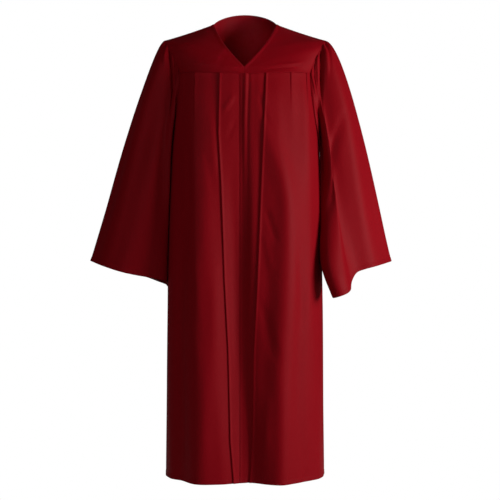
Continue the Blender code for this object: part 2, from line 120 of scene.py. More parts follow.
def girthGrid(face):
    drops = np.linspace(*girth["lookupDrops"])
    shares = np.linspace(0, 1, girth["lookupShares"])
    found, ends = np.empty((4, len(drops), len(shares))), np.empty(len(drops))
    for i, drop in enumerate(drops):
        s, *values = quarterGirth(drop, face)
        ends[i] = s[-1]
        for k, value in enumerate(values):
            found[k, i] = np.interp(shares, s / s[-1], value)
    return drops, ends, found


girthGrids = {face: girthGrid(face) for face in ("front", "back")}


def onGirth(face, s, out, drop):
    drops, ends, found = girthGrids[face]
    s, out, drop = np.broadcast_arrays(s, out, drop)
    share = np.clip(np.abs(s) / np.interp(drop, drops, ends), 0, 1)
    r = np.clip((drop - drops[0]) / (drops[1] - drops[0]), 0, len(drops) - 1.001)
    c = np.clip(share * (found.shape[2] - 1), 0, found.shape[2] - 1.000001)
    r0, c0 = r.astype(int), c.astype(int)
    fr, fc = r - r0, c - c0
    top = found[:, r0, c0] * (1 - fc) + found[:, r0, c0 + 1] * fc
    low = found[:, r0 + 1, c0] * (1 - fc) + found[:, r0 + 1, c0 + 1] * fc
    x, y, nx, ny = top * (1 - fr) + low * fr
    return np.stack([np.where(s < 0, -1.0, 1.0) * (x + out * nx), y + out * ny, -drop], axis=-1)


def yokeDrop(s, face):
    rise = smooth(np.abs(s) / shoulders["yokeHalfWidth"])
    return shoulders["yokeDrop"][face] - shoulders["yokeLift"] * rise


def yokeSideDrop(face):
    # the yoke seam's drop at the armhole
    return float(yokeDrop(shoulders["yokeHalfWidth"], face))


def armholeY(drop, face):
    across = (armhole["midDrop"] - drop) / armhole["halfHeight"]
    return armhole["halfDepth"][face] * np.sqrt(np.maximum(0.0, 1.0 - across * across))


def girthX(drop, y, face):
    halfWidth, front, back, power = girthSize(drop)
    depth = front if face == "front" else back
    return halfWidth * np.maximum(0.0, 1 - (np.abs(y) / depth) ** power) ** (1 / power)


def armholeS(drop, face):
    # s of the armhole's edge, or of the side seam below the underarm
    s, x, y, *_ = quarterGirth(drop, face)
    if drop >= armhole["midDrop"] + armhole["halfHeight"]:
        return float(s[-1])
    return float(np.interp(-armholeY(drop, face), -np.abs(y), s))


def armholePoint(turn, face):
    # from the shoulder (turn 0) to the underarm (turn pi), on the right side
    drop = armhole["midDrop"] - armhole["halfHeight"] * np.cos(turn)
    depth = armhole["halfDepth"][face] * np.abs(np.sin(turn))
    seam = yokeSideDrop(face)
    x = girthX(np.maximum(drop, seam), depth, face)
    seamX = float(girthX(seam, armholeY(seam, face), face))
    up = np.clip((seam - drop) / (seam - shoulders["shoulderDrop"]), 0.0, None)
    x = np.where(drop < seam, seamX + (shoulders["shoulderX"] - seamX) * up**1.3, x)
    return np.stack([x, faceSign[face] * depth, -drop], axis=-1)


# Folds and creases

def softFolds(folds, s, down):
    # each fold is a list of knots from the yoke (down 0) to the hem (1):
    # down, s, out, width on the left, width on the right
    total = np.zeros(np.broadcast(s, down).shape)
    for knots in folds.values():
        knots = np.array(knots)
        near = [np.clip(down + shift, 0, 1) for shift in (-0.05, -0.025, 0.0, 0.025, 0.05)]
        centre, out, left, right = (
            np.mean([np.interp(d, knots[:, 0], knots[:, i]) for d in near], axis=0) for i in (1, 2, 3, 4)
        )
        width = np.where(s < centre, left, right)
        total += out * np.exp(-(((s - centre) / width) ** 2))
    return total


def creases(table, a, b):
    # soft straight troughs (-) or ridges (+) between two points, tapered at their ends
    total = np.zeros(np.broadcast(a, b).shape)
    for a0, b0, a1, b1, out, width in table:
        along = np.array([a1 - a0, b1 - b0])
        length = float(np.hypot(*along))
        t = ((a - a0) * along[0] + (b - b0) * along[1]) / length**2
        aside = ((a - a0) * along[1] - (b - b0) * along[0]) / length
        ends = smooth(t / 0.3) * smooth((1 - t) / 0.3)
        total += out * ends * np.exp(-((aside / width) ** 2))
    return total


def unevenness(a, b, seed, size, lengthA, lengthB):
    # a low, seeded unevenness of the cloth, as a sum of slanting waves
    draw = random.Random(seed)
    total = np.zeros(np.broadcast(a, b).shape)
    for _ in range(14):
        la = lengthA * draw.uniform(0.6, 1.8)
        lb = lengthB * draw.uniform(0.6, 1.8) * draw.choice((-1, 1))
        total += draw.uniform(0.3, 1.0) * np.sin(2 * math.pi * (a / la + b / lb) + draw.uniform(0, 6.28))
    return total * size / 3.0


sideSeams = {"dent": 0.0007, "dentWidth": 0.0022, "foldsFade": 0.04}
hems = {"turnUp": 0.009, "thick": 0.0007, "step": 0.0015}
hemStitching = {"below": 0.0018, "dent": 0.0005, "width": 0.0011}


def sideSeamDent(distance):
    return sideSeams["dent"] * np.exp(-((distance / sideSeams["dentWidth"]) ** 2))


def hemProfile(distance):
    # the doubled cloth of a narrow hem, with the dent of its stitching along the top
    past = distance - hems["turnUp"]
    dent = np.exp(-(((past + hemStitching["below"]) / hemStitching["width"]) ** 2))
    return hems["thick"] * (1 - smooth(past / hems["step"])) - hemStitching["dent"] * dent


def hemRows(count, length):
    # distances from the top of a piece to its hem, closer together at the hem
    near = [0.0, 0.0008, 0.002, 0.0036, 0.0052, 0.0064, 0.0072, 0.008, 0.009, 0.0102, 0.0118, 0.014]
    far = np.linspace(near[-1] + 0.003, length, count)
    return (length - np.concatenate([near, far]))[::-1]


def panelRows(count, length):
    # shares of the way from the yoke to the hem, closer together at both
    near = np.array([0.0, 0.002, 0.004, 0.007, 0.01, 0.014])
    start = near[-1] + 0.003
    return np.concatenate([near, hemRows(count, length - start) + start]) / length


# Meshes

def gridNormals(grid, closed):
    if closed:
        across = np.roll(grid, -1, axis=1) - np.roll(grid, 1, axis=1)
    else:
        across = np.gradient(grid, axis=1)
    normal = np.cross(across, np.gradient(grid, axis=0))
    size = np.linalg.norm(normal, axis=2, keepdims=True)
    return normal / np.maximum(size, 1e-12)


def outwardNormals(grid, closed):
    normal = gridNormals(grid, closed)
    middle = grid.reshape(-1, 3).mean(axis=0) * (1.0, 1.0, 0.0) if closed else np.zeros(3)
    if np.sum(normal[..., :2] * (grid - middle)[..., :2]) < 0:
        normal = -normal
    return normal


def shell(name, grid, cloth, closed=False, seams=()):
    # a wall round a grid of points; a seam edge is square to its axis so neighbours stay parallel
    rowCount, columnCount = grid.shape[:2]
    normal = outwardNormals(grid, closed)
    where = {"top": (0, slice(None)), "bottom": (-1, slice(None))}
    where.update({"first": (slice(None), 0), "last": (slice(None), -1)})
    onShoulder = np.where(np.abs(grid[0, :, 0]) > shoulders["neckHalfWidth"] - 1e-6)[0]
    where["shoulders"] = (0, onShoulder)
    for edge, axis in seams:
        square = normal[where[edge]].copy()
        square[:, axis] = 0.0
        normal[where[edge]] = square / np.linalg.norm(square, axis=1, keepdims=True)
    half = normal * wallThickness / 2
    points = np.vstack([(grid + half).reshape(-1, 3), (grid - half).reshape(-1, 3)])
    count = rowCount * columnCount
    r = np.arange(rowCount - 1)[:, None]
    c = np.arange(columnCount if closed else columnCount - 1)[None, :]
    a = r * columnCount + c
    b = r * columnCount + (c + 1) % columnCount
    quads = np.stack([a, b, b + columnCount, a + columnCount], axis=-1).reshape(-1, 4)
    edgeC = c[0]
    nextC = (edgeC + 1) % columnCount
    rim = [np.stack([nextC, edgeC, edgeC + count, nextC + count], axis=-1)]
    low = count - columnCount
    rim.append(np.stack([edgeC + low, nextC + low, nextC + low + count, edgeC + low + count], axis=-1))
    if not closed:
        up = np.arange(rowCount - 1) * columnCount
        rim.append(np.stack([up, up + columnCount, up + columnCount + count, up + count], axis=-1))
        last = up + columnCount - 1
        rim.append(np.stack([last + columnCount, last, last + count, last + columnCount + count], axis=-1))
    faces = np.vstack([quads, quads[:, ::-1] + count] + rim)
    mesh = bpy.data.meshes.new(name)
    mesh.from_pydata(points.tolist(), [], faces.tolist())
    # cloth coordinates in metres, so that the weave runs with the threads
    stepAcross = np.linalg.norm(np.diff(grid, axis=1), axis=2)
    stepDown = np.linalg.norm(np.diff(grid, axis=0), axis=2)
    u = np.concatenate([np.zeros((rowCount, 1)), np.cumsum(stepAcross, axis=1)], axis=1)
    u = u - u.mean(axis=1, keepdims=True)
    v = np.concatenate([np.zeros((1, columnCount)), np.cumsum(stepDown, axis=0)], axis=0)
    uv = np.stack([u.reshape(-1), v.reshape(-1)], axis=-1)
    uv = np.vstack([uv, uv])
    layer = mesh.uv_layers.new(name="threads")
    loops = np.empty(len(mesh.loops), dtype=np.int64)
    mesh.loops.foreach_get("vertex_index", loops)
    layer.data.foreach_set("uv", uv[loops].astype(np.float32).reshape(-1))
    bm = bmesh.new()
    bm.from_mesh(mesh)
    bmesh.ops.recalc_face_normals(bm, faces=bm.faces)
    bm.to_mesh(mesh)
    bm.free()
    mesh.shade_smooth()
    made = bpy.data.objects.new(name, mesh)
    made.data.materials.append(cloth)
    bpy.context.scene.collection.objects.link(made)
    return made


# Cloth material

clothLook = {
    "shade": (0.176, 0.0006, 0.0036),
    "shadeWorn": (0.2, 0.001, 0.005),
    "roughness": (0.51, 0.6),  # weft, warp
    "specular": 0.05,
    "sheen": 0.03,
    "sheenRoughness": 0.42,
    "sheenTint": (1.0, 0.28, 0.3),
    "threadsPerMetre": 2200.0,
    "weaveDepth": 0.0001,
    "weaveStrength": 0.5,
    "crumple": 0.00045,
    "crumpleScale": 18.0,
    "crumpleStretch": (1.0, 1.0, 0.22),
}


def newGroup(name, inputs, outputs):
    group = bpy.data.node_groups.new(name, "ShaderNodeTree")
    for label, kind, value in inputs:
        socket = group.interface.new_socket(label, in_out="INPUT", socket_type=kind)
        if value is not None:
            socket.default_value = value
    for label, kind in outputs:
        group.interface.new_socket(label, in_out="OUTPUT", socket_type=kind)
    return group, group.nodes.new("NodeGroupInput"), group.nodes.new("NodeGroupOutput")


def math2(nodes, links, operation, a, b):
    node = nodes.new("ShaderNodeMath")
    node.operation = operation
    for i, value in enumerate((a, b)):
        if isinstance(value, (int, float)):
            node.inputs[i].default_value = value
        elif value is not None:
            links.new(value, node.inputs[i])
    return node.outputs[0]


def weaveGroup():
    # plain weave: warp and weft threads that pass over each other in turn
    group, inside, outside = newGroup(
        "plainWeave",
        [
            ("Threads", "NodeSocketVector", None),
            ("Threads Per Metre", "NodeSocketFloat", clothLook["threadsPerMetre"]),
        ],
        [("Height", "NodeSocketFloat"), ("Warp", "NodeSocketFloat")],
    )
    nodes, links = group.nodes, group.links
    split = nodes.new("ShaderNodeSeparateXYZ")
    links.new(inside.outputs["Threads"], split.inputs[0])

    def calc(operation, a, b=None):
        return math2(nodes, links, operation, a, b)

    waves = []
    for axis in (0, 1):
        threads = calc("MULTIPLY", split.outputs[axis], inside.outputs["Threads Per Metre"])
        waves.append(calc("SINE", calc("MULTIPLY", threads, math.pi)))
    warp, weft = waves
    lifted = calc("GREATER_THAN", calc("MULTIPLY", warp, weft), 0.0)
    warpShare = calc("MULTIPLY", calc("ABSOLUTE", warp), lifted)
    weftShare = calc("MULTIPLY", calc("ABSOLUTE", weft), calc("SUBTRACT", 1.0, lifted))
    links.new(calc("ADD", warpShare, weftShare), outside.inputs["Height"])
    links.new(lifted, outside.inputs["Warp"])
    return group


def crumpleGroup():
    # small soft wrinkles left by wear and packing, longer down the cloth than across it
    group, inside, outside = newGroup(
        "clothCrumple",
        [("Position", "NodeSocketVector", None), ("Scale", "NodeSocketFloat", clothLook["crumpleScale"])],
        [("Height", "NodeSocketFloat"), ("Tone", "NodeSocketFloat")],
    )
    nodes, links = group.nodes, group.links
    stretch = nodes.new("ShaderNodeMapping")
    stretch.inputs["Scale"].default_value = clothLook["crumpleStretch"]
    links.new(inside.outputs["Position"], stretch.inputs["Vector"])
    coarse = nodes.new("ShaderNodeTexNoise")
    coarse.inputs["Detail"].default_value = 2.0
    coarse.inputs["Roughness"].default_value = 0.45
    coarse.inputs["Distortion"].default_value = 0.4
    links.new(stretch.outputs[0], coarse.inputs["Vector"])
    links.new(inside.outputs["Scale"], coarse.inputs["Scale"])
    tone = nodes.new("ShaderNodeTexNoise")
    tone.inputs["Detail"].default_value = 3.0
    links.new(inside.outputs["Position"], tone.inputs["Vector"])
    links.new(math2(nodes, links, "MULTIPLY", inside.outputs["Scale"], 0.35), tone.inputs["Scale"])
    links.new(coarse.outputs["Fac"], outside.inputs["Height"])
    links.new(tone.outputs["Fac"], outside.inputs["Tone"])
    return group


plainWeave = weaveGroup()
clothCrumple = crumpleGroup()


def gownCloth(name):
    made = bpy.data.materials.new(name)
    made.use_nodes = True
    nodes, links = made.node_tree.nodes, made.node_tree.links
    shader = nodes["Principled BSDF"]
    shader.inputs["Specular IOR Level"].default_value = clothLook["specular"]
    shader.inputs["Sheen Weight"].default_value = clothLook["sheen"]
    shader.inputs["Sheen Roughness"].default_value = clothLook["sheenRoughness"]
    shader.inputs["Sheen Tint"].default_value = (*clothLook["sheenTint"], 1.0)
    place = nodes.new("ShaderNodeTexCoord")
    threads = nodes.new("ShaderNodeUVMap")
    threads.uv_map = "threads"
    weave = nodes.new("ShaderNodeGroup")
    weave.node_tree = plainWeave
    links.new(threads.outputs[0], weave.inputs["Threads"])
    crumple = nodes.new("ShaderNodeGroup")
    crumple.node_tree = clothCrumple
    links.new(place.outputs["Object"], crumple.inputs["Position"])
    tone = nodes.new("ShaderNodeMix")
    tone.data_type = "RGBA"
    tone.inputs["A"].default_value = (*clothLook["shade"], 1.0)
    tone.inputs["B"].default_value = (*clothLook["shadeWorn"], 1.0)
    links.new(crumple.outputs["Tone"], tone.inputs["Factor"])
    links.new(tone.outputs["Result"], shader.inputs["Base Color"])
    rough = nodes.new("ShaderNodeMapRange")
    rough.inputs["To Min"].default_value, rough.inputs["To Max"].default_value = clothLook["roughness"]
    links.new(weave.outputs["Warp"], rough.inputs["Value"])
    links.new(rough.outputs[0], shader.inputs["Roughness"])
    wrinkleBump = nodes.new("ShaderNodeBump")
    wrinkleBump.inputs["Strength"].default_value = 1.0
    wrinkleBump.inputs["Distance"].default_value = clothLook["crumple"]
    links.new(crumple.outputs["Height"], wrinkleBump.inputs["Height"])
    weaveBump = nodes.new("ShaderNodeBump")
    weaveBump.inputs["Strength"].default_value = clothLook["weaveStrength"]
    weaveBump.inputs["Distance"].default_value = clothLook["weaveDepth"]
    links.new(weave.outputs["Height"], weaveBump.inputs["Height"])
    links.new(wrinkleBump.outputs[0], weaveBump.inputs["Normal"])
    links.new(weaveBump.outputs[0], shader.inputs["Normal"])
    return made


maroonCloth = gownCloth("maroonGownCloth")
print("cloth material ready")


# Front panels

frontPanels = {
    "folds": {
        "leftHollow": (
            (0.0, -0.182, 0.0, 0.018, 0.018), (0.5, -0.176, -0.006, 0.022, 0.024),
            (1.0, -0.176, -0.009, 0.028, 0.028),
        ),
        "leftCrest": (
            (0.0, -0.128, 0.002, 0.026, 0.04), (0.2, -0.123, 0.01, 0.026, 0.046),
            (0.5, -0.117, 0.014, 0.028, 0.05), (1.0, -0.112, 0.017, 0.034, 0.05),
        ),
        "centreTrough": (
            (0.0, -0.004, -0.002, 0.03, 0.018), (0.15, -0.008, -0.008, 0.036, 0.02),
            (0.5, -0.012, -0.022, 0.046, 0.025), (0.8, -0.004, -0.022, 0.044, 0.029),
            (1.0, 0.012, -0.019, 0.04, 0.032),
        ),
        "rightCrest": (
            (0.0, 0.056, 0.001, 0.024, 0.034), (0.13, 0.052, 0.005, 0.02, 0.036),
            (0.285, 0.106, 0.018, 0.034, 0.036), (0.5, 0.106, 0.021, 0.036, 0.036),
            (0.7, 0.092, 0.021, 0.033, 0.036), (1.0, 0.088, 0.02, 0.033, 0.034),
        ),
        "rightSide": (
            (0.0, 0.162, 0.003, 0.02, 0.02), (0.5, 0.166, 0.005, 0.024, 0.022),
            (1.0, 0.174, -0.003, 0.026, 0.024),
        ),
    },
    # the sharp pleat beside the centre on each side: its folded edge, down the cloth
    "pleatDrops": (0.15, 0.292, 0.431, 0.671, 0.855, 1.075, 1.143, 1.18),
    "pleatEdge": {
        "left": (0.065, 0.0675, 0.06, 0.052, 0.0425, 0.037, 0.031, 0.028),
        "right": (0.053, 0.046, 0.0405, 0.031, 0.0215, 0.0185, 0.015, 0.012),
    },
    "pleatRadius": 0.00052,
    "pleatRim": 0.0018,  # a pressed edge springs up a little
    "pleatRimAt": 0.0014,
    "pleatRimWidth": 0.0026,
    "overlap": {"left": 0.016, "right": 0.015},
    # tucks under the yoke, facing the same way as the pleats: s at the yoke, s lower down, height, length
    "tucks": {
        "left": ((0.13, 0.129, 0.0034, 0.15), (0.17, 0.169, 0.003, 0.13)),
        "right": ((0.118, 0.12, 0.0026, 0.11), (0.166, 0.17, 0.003, 0.16)),
    },
    "tuckStep": 0.002,
    "tuckFades": 0.016,
    "creases": (  # s, drop to s, drop, height, width
        (0.034, 0.19, 0.062, 0.29, -0.0016, 0.007), (0.05, 0.48, 0.082, 0.59, -0.0022, 0.008),
        (0.046, 0.54, 0.07, 0.66, 0.0014, 0.008), (0.036, 0.7, 0.082, 0.9, -0.0026, 0.012),
        (0.06, 0.94, 0.05, 1.12, 0.0018, 0.01), (-0.058, 0.25, -0.024, 0.196, 0.0022, 0.007),
        (-0.046, 0.32, -0.022, 0.262, -0.0012, 0.007), (-0.086, 0.24, -0.072, 0.42, 0.0014, 0.008),
        (-0.1, 0.33, -0.076, 0.47, -0.0014, 0.009), (-0.15, 0.3, -0.138, 0.52, -0.0016, 0.01),
        (-0.14, 0.62, -0.11, 0.86, -0.0018, 0.012), (0.13, 0.56, 0.15, 0.82, -0.0016, 0.012),
    ),
    "uneven": (11, 0.0007, 0.06, 0.45),  # seed, height, length across, length down
    "rows": 190,
    "lapEdge": 0.012,
    "lapUnder": 0.004,
    "lapDepth": 0.0014,
    "lipHeight": 0.0034,
    "lipTop": 0.0018,
    "lipLow": -0.0012,
    "lipWidth": 0.0044,
    "lipBends": 0.14,
    "lipFadesFrom": 0.16,
    "lipFadesTo": 0.52,
    "lipFades": 0.9,
    "lipGroove": 0.0016,
    "lipGrooveAt": 0.0085,
    "lipGrooveWidth": 0.0032,
    "lapRise": 0.0004,
    "lapSinks": (0.006, 0.014),  # s where the under layer begins to rise, and over what width
    "lapFlat": (0.016, 0.01),  # the same for the lip on the upper layer
}


def clustered(anchors, counts):
    # values from anchor to anchor, closer together near each anchor
    parts = []
    for low, high, count in zip(anchors[:-1], anchors[1:], counts):
        t = np.linspace(0, 1, count + 1)[:-1]
        parts.append(low + (high - low) * (0.45 * t + 0.55 * (0.5 - 0.5 * np.cos(math.pi * t))))
    parts.append(np.array([anchors[-1]]))
    return np.concatenate(parts)


def pleatRim(distance):
    f = frontPanels
    return f["pleatRim"] * np.exp(-(((distance - f["pleatRimAt"]) / f["pleatRimWidth"]) ** 2))


def pleatPath(side, start, edge, tuckLines, end):
    # (s, depth) along the cloth of one row, through the pleat, from the centre front outwards
    r = frontPanels["pleatRadius"]
    overlap = frontPanels["overlap"][side]
    turn = np.linspace(0, math.pi, 9)[1:-1]
    under = -4 * r
    if side == "left":  # the folded edge faces outwards
        inner = edge - overlap
        face = clustered((start, (start + edge) / 2, edge - r), (18, 16))
        s = [face, edge - r + r * np.sin(turn), np.linspace(edge - r, inner + r, 5)]
        rim = pleatRim(edge - face)
        rimEnd = rim[-1] * (1 - turn / math.pi)
        depth = [rim, -r + r * np.cos(turn) + rimEnd, np.full(5, -2 * r)]
        s += [inner + r - r * np.sin(turn), np.linspace(inner + r, edge, 5)]
        depth += [-3 * r + r * np.cos(turn), np.full(5, under)]
        rise = edge + np.array((0.001, 0.002, 0.0035, 0.005, 0.007, 0.01, 0.013, 0.017, 0.021, 0.026, 0.031))
        s.append(rise)
        depth.append(under * (1 - smooth((rise - edge - 0.001) / 0.03)))
        rest = clustered((edge + 0.034, *tuckLines, end), (20, 16, 16))
        s.append(rest)
        depth.append(rest * 0)
    else:  # the folded edge faces the centre
        inner = edge + overlap
        sinkFrom = max(edge - 0.022, (start + edge) / 2)
        face = clustered((start, sinkFrom), (22,))
        sink = np.linspace(sinkFrom, edge, 11)[1:]
        s = [face, sink, np.linspace(edge, inner - r, 6)[1:], inner - r + r * np.sin(turn)]
        depth = [face * 0, under * smooth((sink - sinkFrom) / (edge - sinkFrom)), np.full(5, under)]
        depth.append(-3 * r - r * np.cos(turn))
        s += [np.linspace(inner - r, edge + r, 5), edge + r - r * np.sin(turn)]
        rest = clustered((edge + r, *tuckLines, end), (26, 20, 18))
        rim = pleatRim(rest - edge)
        depth += [np.full(5, -2 * r), -r - r * np.cos(turn) + rim[0] * turn / math.pi]
        s.append(rest)
        depth.append(rim)
    return np.concatenate(s), np.concatenate(depth)


def tuckLine(tuck, drop):
    top, low, _, length = tuck
    return top + (low - top) * np.clip((drop - shoulders["yokeDrop"]["front"]) / length, 0, 1)


def tuckHeight(side, s, drop):
    # a folded edge that faces left: it stands up sharply on its left and dies away to its right
    f = frontPanels
    total = np.zeros(s.shape)
    for tuck in f["tucks"][side]:
        height, length = tuck[2:]
        fade = 1 - smooth((drop - shoulders["yokeDrop"]["front"]) / length)
        toRight = (s - tuckLine(tuck, drop)) * sideSign[side]
        step = smooth(toRight / f["tuckStep"] + 0.5)
        total += height * fade * step * np.exp(-np.clip(toRight, 0, None) / f["tuckFades"])
    return total


def lip(s, drop):
    f = frontPanels
    below = smooth((drop - shoulders["yokeDrop"]["front"]) / f["lipBends"])
    centre = f["lipTop"] + (f["lipLow"] - f["lipTop"]) * below
    fadeLength = f["lipFadesTo"] - f["lipFadesFrom"]
    fade = 1.0 - f["lipFades"] * smooth((drop - f["lipFadesFrom"]) / fadeLength)
    raised = f["lipHeight"] * fade * np.exp(-(((s - centre) / f["lipWidth"]) ** 2))
    beside = (s - centre - f["lipGrooveAt"]) / f["lipGrooveWidth"]
    return f["lapRise"] + raised - f["lipGroove"] * fade * np.exp(-(beside**2))


def frontPanelGrid(side):
    f = frontPanels
    sign = sideSign[side]
    gap = shoulders["seamGap"]
    sideTop = yokeSideDrop("front") + gap
    length = girth["hemDrop"] - sideTop
    rows = []
    for down in panelRows(f["rows"], length):
        sideDrop = sideTop + length * down
        edge = float(np.interp(sideDrop, f["pleatDrops"], f["pleatEdge"][side]))
        outer = armholeS(sideDrop, "front") - gap / 2
        start = -f["lapUnder"] if side == "left" else -f["lapEdge"]
        lines = [float(tuckLine(tuck, sideDrop)) for tuck in f["tucks"][side]]
        lines = [min(line, outer - 0.012 * (2 - i)) for i, line in enumerate(lines)]
        s, layer = pleatPath(side, start, edge, lines, outer)
        top = yokeDrop(s, "front") + gap
        drop = top + (girth["hemDrop"] - top) * down
        fromSeam = outer - np.abs(s)
        out = softFolds(f["folds"], sign * s, np.full(s.shape, down)) * smooth(down / 0.06)
        out = out + creases(f["creases"], sign * s, drop)
        out = out + unevenness(sign * s, drop, *f["uneven"])
        out = out * smooth(fromSeam / sideSeams["foldsFade"]) - sideSeamDent(fromSeam)
        out = out + tuckHeight(side, s, drop) * smooth(fromSeam / 0.008)
        if side == "left":
            out = out - f["lapDepth"] * (1 - smooth((s - f["lapSinks"][0]) / f["lapSinks"][1]))
        else:
            out = out + lip(s, drop) * (1 - smooth((s - f["lapFlat"][0]) / f["lapFlat"][1]))
        out = out + layer
        out = out + hemProfile((1 - down) * length) * (layer > -0.001)
        rows.append(onGirth("front", sign * s, out, drop))
    return np.array(rows)


madePieces = {}
for side in ("left", "right"):
    name = f"frontPanel_{side}"
    seams = (("top", 2), ("last", 1))
    madePieces[name] = shell(name, frontPanelGrid(side), maroonCloth, seams=seams)
    print(name, len(madePieces[name].data.polygons), "faces")


# Back panel

backPanel = {
    "foldDowns": (0.0, 0.45, 1.0),
    # s, out and width at the yoke, partway down and at the hem
    "folds": {
        "leftSeamHollow": ((-0.18, -0.184, -0.186), (-0.003, -0.01, -0.013), (0.014, 0.018, 0.022)),
        "leftOuterFlute": ((-0.131, -0.136, -0.137), (0.004, 0.012, 0.016), (0.015, 0.019, 0.024)),
        "leftHollow": ((-0.088, -0.09, -0.086), (-0.004, -0.011, -0.015), (0.013, 0.016, 0.02)),
        "leftInnerFlute": ((-0.049, -0.044, -0.045), (0.004, 0.011, 0.015), (0.013, 0.016, 0.019)),
        "centreHollow": ((-0.01, -0.002, 0.004), (-0.004, -0.012, -0.016), (0.014, 0.017, 0.021)),
        "rightInnerFlute": ((0.036, 0.04, 0.047), (0.004, 0.012, 0.017), (0.014, 0.017, 0.021)),
        "rightHollow": ((0.08, 0.088, 0.092), (-0.004, -0.01, -0.014), (0.013, 0.016, 0.02)),
        "rightOuterFlute": ((0.124, 0.13, 0.134), (0.004, 0.013, 0.016), (0.015, 0.018, 0.022)),
        "rightSeamHollow": ((0.176, 0.178, 0.183), (-0.003, -0.011, -0.014), (0.015, 0.019, 0.024)),
    },
    # gathers under the back yoke: s, height, width, length
    "gathers": (
        (-0.148, 0.0022, 0.004, 0.1), (-0.139, -0.0018, 0.0036, 0.07), (-0.121, 0.0024, 0.0044, 0.13),
        (-0.109, -0.002, 0.004, 0.09), (-0.092, 0.002, 0.0036, 0.08), (-0.078, -0.0022, 0.0046, 0.12),
        (-0.06, 0.0026, 0.0044, 0.14), (-0.048, -0.002, 0.0036, 0.08), (-0.034, 0.002, 0.004, 0.09),
        (-0.017, -0.0024, 0.0046, 0.12), (-0.002, 0.0026, 0.0046, 0.15), (0.013, -0.002, 0.0038, 0.09),
        (0.025, 0.002, 0.0036, 0.07), (0.042, -0.0022, 0.0044, 0.12), (0.056, 0.0026, 0.0046, 0.13),
        (0.071, -0.002, 0.0038, 0.08), (0.084, 0.0022, 0.004, 0.1), (0.099, -0.0024, 0.0046, 0.12),
        (0.116, 0.0024, 0.0044, 0.12), (0.13, -0.0018, 0.0036, 0.07), (0.146, 0.0022, 0.004, 0.09),
    ),
    "creases": (
        (-0.12, 0.3, -0.06, 0.47, -0.002, 0.011), (0.13, 0.33, 0.07, 0.52, -0.002, 0.011),
        (-0.03, 0.56, 0.02, 0.76, -0.0018, 0.012), (0.11, 0.7, 0.15, 0.94, -0.0018, 0.012),
        (-0.15, 0.64, -0.11, 0.86, 0.0018, 0.012),
    ),
    "uneven": (23, 0.0007, 0.06, 0.45),
    "columns": 250,
    "rows": 170,
}


def backPanelGrid():
    f = backPanel
    folds = {name: np.stack([f["foldDowns"], *fold, fold[2]], axis=1) for name, fold in f["folds"].items()}
    gap = shoulders["seamGap"]
    sideTop = yokeSideDrop("back") + gap
    length = girth["hemDrop"] - sideTop
    rows = []
    for down in panelRows(f["rows"], length):
        sideDrop = sideTop + length * down
        outer = armholeS(sideDrop, "back") - gap / 2
        s = np.linspace(-outer, outer, f["columns"])
        top = yokeDrop(s, "back") + gap
        drop = top + (girth["hemDrop"] - top) * down
        out = softFolds(folds, s, np.full(s.shape, down)) * smooth(down / 0.06)
        out = out + creases(f["creases"], s, drop) + unevenness(s, drop, *f["uneven"])
        for at, height, width, reach in f["gathers"]:
            gathered = np.exp(-(((s - at) / width) ** 2)) * (1 - smooth((drop - top) / reach))
            out = out + height * gathered * smooth((drop - top + 0.001) / 0.004)
        fromSeam = outer - np.abs(s)
        out = out * smooth(fromSeam / sideSeams["foldsFade"]) - sideSeamDent(fromSeam)
        out = out + hemProfile((1 - down) * length)
        rows.append(onGirth("back", s, out, drop))
    return np.array(rows)


madePieces["backPanel"] = shell(
    "backPanel", backPanelGrid(), maroonCloth, seams=(("top", 2), ("first", 1), ("last", 1))
)
print("backPanel", len(madePieces["backPanel"].data.polygons), "faces")


# Yokes

yokes = {
    "columns": 80,
    "rows": 70,
    "endShare": 0.03,
    "backNeckShare": 0.36,
    "backColumns": (34, 60),
    "easeColumns": 30,
    "seamLip": 0.0005,  # the yoke's folded lower edge stands over the gathers
    "seamLipWidth": 0.006,
    "neckRoll": 0.0013,
    "neckRollWidth": 0.01,
    "edgeStart": 0.0012,  # lips and rolls rise from an edge over this width
    "vEnd": 0.84,
    "vBow": (0.012, -0.01, 0.002),
    "vSink": 0.004,
    "uneven": {
        "left": (31, 0.0004, 0.6, 0.4),
        "right": (37, 0.0004, 0.6, 0.4),
        "back": (41, 0.0005, 0.7, 0.5),
    },
    "frontCreases": {
        "left": ((0.3, 0.86, 0.75, 0.8, 0.0012, 0.03), (0.1, 0.62, 0.42, 0.9, -0.001, 0.04)),
        "right": ((0.2, 0.93, 0.8, 0.9, -0.0012, 0.022), (0.25, 0.86, 0.85, 0.82, 0.0012, 0.028)),
    },
}


def shoulderSeam(u):
    s = shoulders
    x = s["neckHalfWidth"] + (s["shoulderX"] - s["neckHalfWidth"]) * u
    drop = s["shoulderDrop"] * u + s["sag"] * np.sin(math.pi * u)
    return np.stack([x, u * 0, -drop], axis=-1)


def yokeBottom(face, inner):
    seam = yokeSideDrop(face)
    outer = armholeS(seam, face)

    def at(u):
        s = inner + (outer - inner) * u
        return onGirth(face, s, 0.0, yokeDrop(s, face))

    return at


def armholeEdge(face):
    seam = yokeSideDrop(face)
    last = math.acos((armhole["midDrop"] - seam) / armhole["halfHeight"])
    return lambda v: armholePoint(last * v, face)


def vNeckEdge(inner):
    bottom = yokeBottom("front", inner)(np.array([0.0]))[0]
    point = onGirth("front", np.array([inner]), 0.0, shoulders["vDrop"])[0]
    point[1] += yokes["vSink"]
    end = yokes["vEnd"]

    def at(v):
        t = np.clip(v / end, 0, 1)[:, None]
        bow = np.sin(math.pi * t)
        start = np.array([shoulders["neckHalfWidth"], 0.0, 0.0])
        upper = start + (point - start) * t + np.array(yokes["vBow"]) * bow
        lower = point + (bottom - point) * np.clip((v - end) / (1 - end), 0, 1)[:, None]
        return np.where((v > end)[:, None], lower, upper)

    return at


